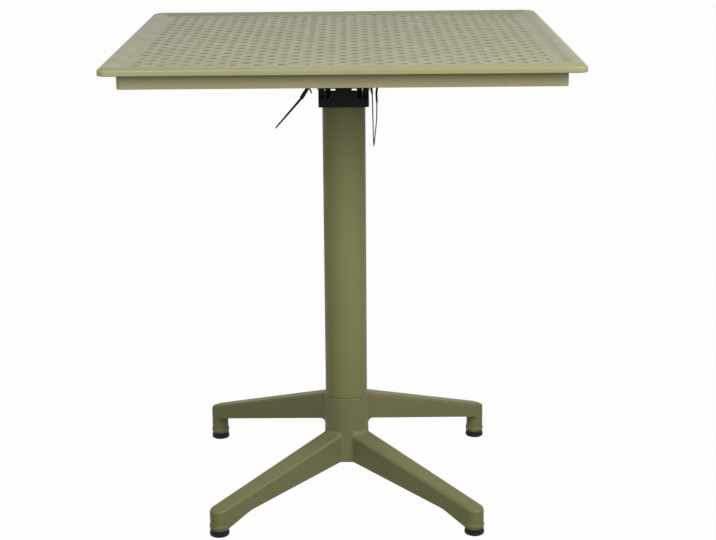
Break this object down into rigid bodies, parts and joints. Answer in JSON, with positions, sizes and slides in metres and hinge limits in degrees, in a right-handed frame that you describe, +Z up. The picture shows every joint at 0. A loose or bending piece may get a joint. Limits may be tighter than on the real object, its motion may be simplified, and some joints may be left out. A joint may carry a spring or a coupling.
{
  "type": "bistro table",
  "caption": "Square bistro table with a perforated plastic top that tilts upright on a round column, and a nesting base of high and low legs on levelling feet.",
  "frame": {"origin": "on the floor, under the column's axis", "axes": "+X to the table's right as the picture shows it, +Y to its back, +Z up"},
  "size_m": [0.68, 0.68, 0.755],
  "materials": {
    "olive_plastic": "fine grained, satin",
    "olive_paint": "powder coat, satin",
    "black_paint": "powder coat, satin",
    "black_nylon": "moulded, satin",
    "foot_plastic": "moulded, matt",
    "steel": "zinc plated"
  },
  "bodies": {
    "base": {"base_casting": "olive_paint", "column_tube": "olive_paint", "column_head": "black_paint", "tie_rod": "steel", "tie_rod_washers": "steel", "tie_rod_nuts": "steel", "hinge_pin": "steel", "hinge_pin_clips": "steel"},
    "top": {"table_top": "olive_plastic", "top_skirt": "olive_plastic", "top_ribs": "olive_plastic", "tilt_bracket": "black_paint", "bracket_screws": "steel", "hinge_bushes": "black_nylon", "latch_pin": "steel", "latch_pin_clips": "steel", "latch_spring": "steel", "spring_rivet": "steel", "cable_tie_left": "black_nylon", "cable_tie_right_front": "black_nylon", "cable_tie_right_rear": "black_nylon"},
    "latch": {"latch_lever": "black_paint"},
    "foot_front_left": {"foot_pad_front_left": "foot_plastic", "foot_stud_front_left": "steel"},
    "foot_front_right": {"foot_pad_front_right": "foot_plastic", "foot_stud_front_right": "steel"},
    "foot_back_left": {"foot_pad_back_left": "foot_plastic", "foot_stud_back_left": "steel"},
    "foot_back_right": {"foot_pad_back_right": "foot_plastic", "foot_stud_back_right": "steel"}
  },
  "joints": [
    {"name": "top_tilt", "type": "hinge", "parent": "base", "child": "top", "pos_m": [0, -0.012, 0.6758], "axis": [1, 0, 0], "range_deg": [0, 90]},
    {"name": "latch_turn", "type": "hinge", "parent": "top", "child": "latch", "pos_m": [0, 0.0514, 0.7018], "axis": [1, 0, 0], "range_deg": [0, 12], "stiffness_Nm_per_rad": 0.6, "springref_deg": -17.19, "deforming": ["latch_spring"]},
    {"name": "foot_front_left_height", "type": "slide", "parent": "base", "child": "foot_front_left", "axis": [0, 0, -1], "range_m": [0, 0.01]},
    {"name": "foot_front_right_height", "type": "slide", "parent": "base", "child": "foot_front_right", "axis": [0, 0, -1], "range_m": [0, 0.01]},
    {"name": "foot_back_left_height", "type": "slide", "parent": "base", "child": "foot_back_left", "axis": [0, 0, -1], "range_m": [0, 0.01]},
    {"name": "foot_back_right_height", "type": "slide", "parent": "base", "child": "foot_back_right", "axis": [0, 0, -1], "range_m": [0, 0.01]}
  ]
}
